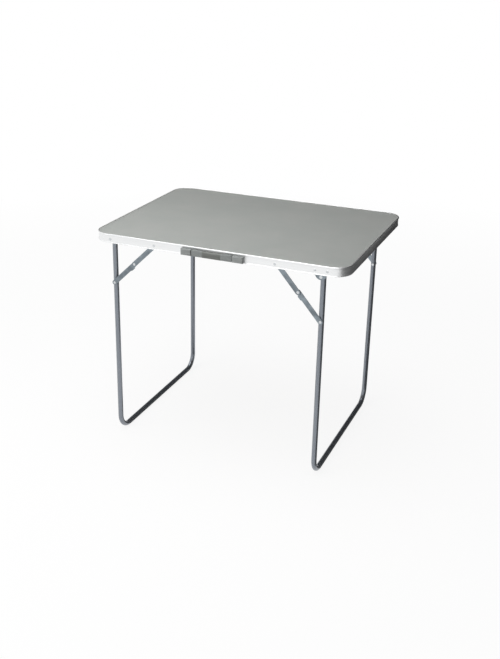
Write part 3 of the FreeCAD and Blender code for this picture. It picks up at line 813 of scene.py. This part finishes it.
def plane(name, corners, material):
    def fill(work):
        work.faces.new([work.verts.new(c) for c in corners])

    obj = object_from(name, fill)
    obj.data.materials.append(material)
    return obj


floor_paper = bpy.data.materials.new("studio_paper")
floor_paper.use_nodes = True
tree = floor_paper.node_tree
tree.nodes.clear()
paper = add_node(tree, "ShaderNodeBsdfDiffuse", {"Color": linear("#F2F2F2")})
glow = add_node(tree, "ShaderNodeEmission", {"Color": (1.0, 1.0, 1.0, 1.0), "Strength": 1.0})
place = add_node(tree, "ShaderNodeTexCoord")
reach = add_node(tree, "ShaderNodeVectorMath", {"operation": "LENGTH"}, {0: (place, "Object")})
fade = add_node(tree, "ShaderNodeMapRange", {"From Min": 0.9, "From Max": 3.0, "To Min": 0.88, "To Max": 1.0},
                {"Value": (reach, "Value")})
share = add_node(tree, "ShaderNodeMath", {"operation": "MULTIPLY"}, {0: shown_to(tree), 1: (fade, 0)})
mix = add_node(tree, "ShaderNodeMixShader", {}, {0: (share, 0), 1: (paper, 0), 2: (glow, 0)})
facing = add_node(tree, "ShaderNodeNewGeometry")
clear = add_node(tree, "ShaderNodeBsdfTransparent")
one_sided = add_node(tree, "ShaderNodeMixShader", {}, {0: (facing, "Backfacing"), 1: (mix, 0), 2: (clear, 0)})
add_node(tree, "ShaderNodeOutputMaterial", {}, {0: (one_sided, 0)})
room = 60.0
plane("studio_floor", [(-room, -room, 0), (room, -room, 0), (room, room, 0), (-room, room, 0)], floor_paper)

black_card = bpy.data.materials.new("black_card")
black_card.use_nodes = True
tree = black_card.node_tree
tree.nodes.clear()
place = add_node(tree, "ShaderNodeTexCoord")
split = add_node(tree, "ShaderNodeSeparateXYZ", {}, {0: (place, "Object")})
# painted reflection: the cards' glow falls from 0.17 at the front to 0.035 at the back, grading the dark
# reflections on the rim and tubes
fade = add_node(tree, "ShaderNodeMapRange",
                {"From Min": -0.7, "From Max": 0.9, "To Min": 0.17, "To Max": 0.035},
                {"Value": (split, 1)})
glow = add_node(tree, "ShaderNodeEmission", {}, {"Strength": (fade, 0)})
add_node(tree, "ShaderNodeOutputMaterial", {}, {0: (glow, 0)})
card_x = rim_high.x + 0.45
card_y = rim_high.y + 1.4
cards = [
    plane("card_right",
          [(card_x, -0.65, 0.0), (card_x, 4.0, 0.0), (card_x, 4.0, 3.0), (card_x, -0.65, 3.0)], black_card),
    plane("card_back",
          [(-3.0, card_y, 0.15), (4.0, card_y, 0.15), (4.0, card_y, 4.0), (-3.0, card_y, 4.0)], black_card),
    plane("card_floor", [(rim_high.x - 0.04, -0.3, 0.001), (card_x, -0.55, 0.001), (card_x, card_y, 0.001),
                         (rim_high.x - 0.04, card_y, 0.001)], black_card),
    plane("card_left_bar", [(-0.345, -0.22, 0.001), (-0.15, -0.22, 0.001), (-0.15, 0.3, 0.001),
                            (-0.345, 0.3, 0.001)], black_card),
    plane("card_right_bar", [(0.316, -0.22, 0.001), (rim_high.x - 0.041, -0.22, 0.001),
                             (rim_high.x - 0.041, 0.3, 0.001), (0.316, 0.3, 0.001)], black_card),
]
for card in cards:
    card.visible_camera = False
    card.visible_diffuse = False
    card.visible_shadow = False

world = bpy.data.worlds.new("studio")
bpy.context.scene.world = world
world.use_nodes = True
tree = world.node_tree
tree.nodes.clear()
room_light = add_node(tree, "ShaderNodeBackground", {"Color": linear("#FFFFFF"), "Strength": 0.34})
backdrop = add_node(tree, "ShaderNodeBackground", {"Color": linear("#FFFFFF"), "Strength": 1.0})
mix = add_node(tree, "ShaderNodeMixShader", {}, {0: shown_to(tree), 1: (room_light, 0), 2: (backdrop, 0)})
add_node(tree, "ShaderNodeOutputWorld", {}, {0: (mix, 0)})


def softbox(name, place, aim, width, height, power):
    light = bpy.data.lights.new(name, "AREA")
    light.shape = "RECTANGLE"
    light.size = width
    light.size_y = height
    light.energy = power
    obj = bpy.data.objects.new(name, light)
    obj.location = place
    obj.rotation_euler = (Vector(aim) - Vector(place)).to_track_quat("-Z", "Y").to_euler()
    bpy.context.scene.collection.objects.link(obj)
    return obj


table_middle = (0.0, 0.0, 0.45)
key = softbox("key_softbox", (-1.9, -2.8, 1.5), table_middle, 2.2, 2.0, 60)
key.visible_glossy = False
softbox("top_softbox", (-0.3, -0.4, 2.9), table_middle, 2.4, 2.0, 50)

# The camera stands in front, to the right of the middle and above the table
camera = bpy.data.cameras.new("camera")
camera.sensor_width = 36.0
camera.lens = 51.15
camera.shift_x = 0.0522
camera.shift_y = -0.0342
camera.clip_start = 0.05
camera_object = bpy.data.objects.new("camera", camera)
bpy.context.scene.collection.objects.link(camera_object)
around, above, roll = (math.radians(a) for a in (24.23, 21.81, 0.46))
back = Vector((math.sin(around) * math.cos(above), -math.cos(around) * math.cos(above), math.sin(above)))
right = (-back).cross(Vector((0, 0, 1))).normalized()
up = right.cross(-back)
turned_right = math.cos(roll) * right + math.sin(roll) * up
turned_up = -math.sin(roll) * right + math.cos(roll) * up
pose = Matrix((turned_right, turned_up, back)).transposed().to_4x4()
pose.translation = Vector((1.04936, -2.6070, 1.51861))
camera_object.matrix_world = pose
bpy.context.scene.camera = camera_object

view_settings = bpy.context.scene.view_settings
view_settings.view_transform = "Standard"
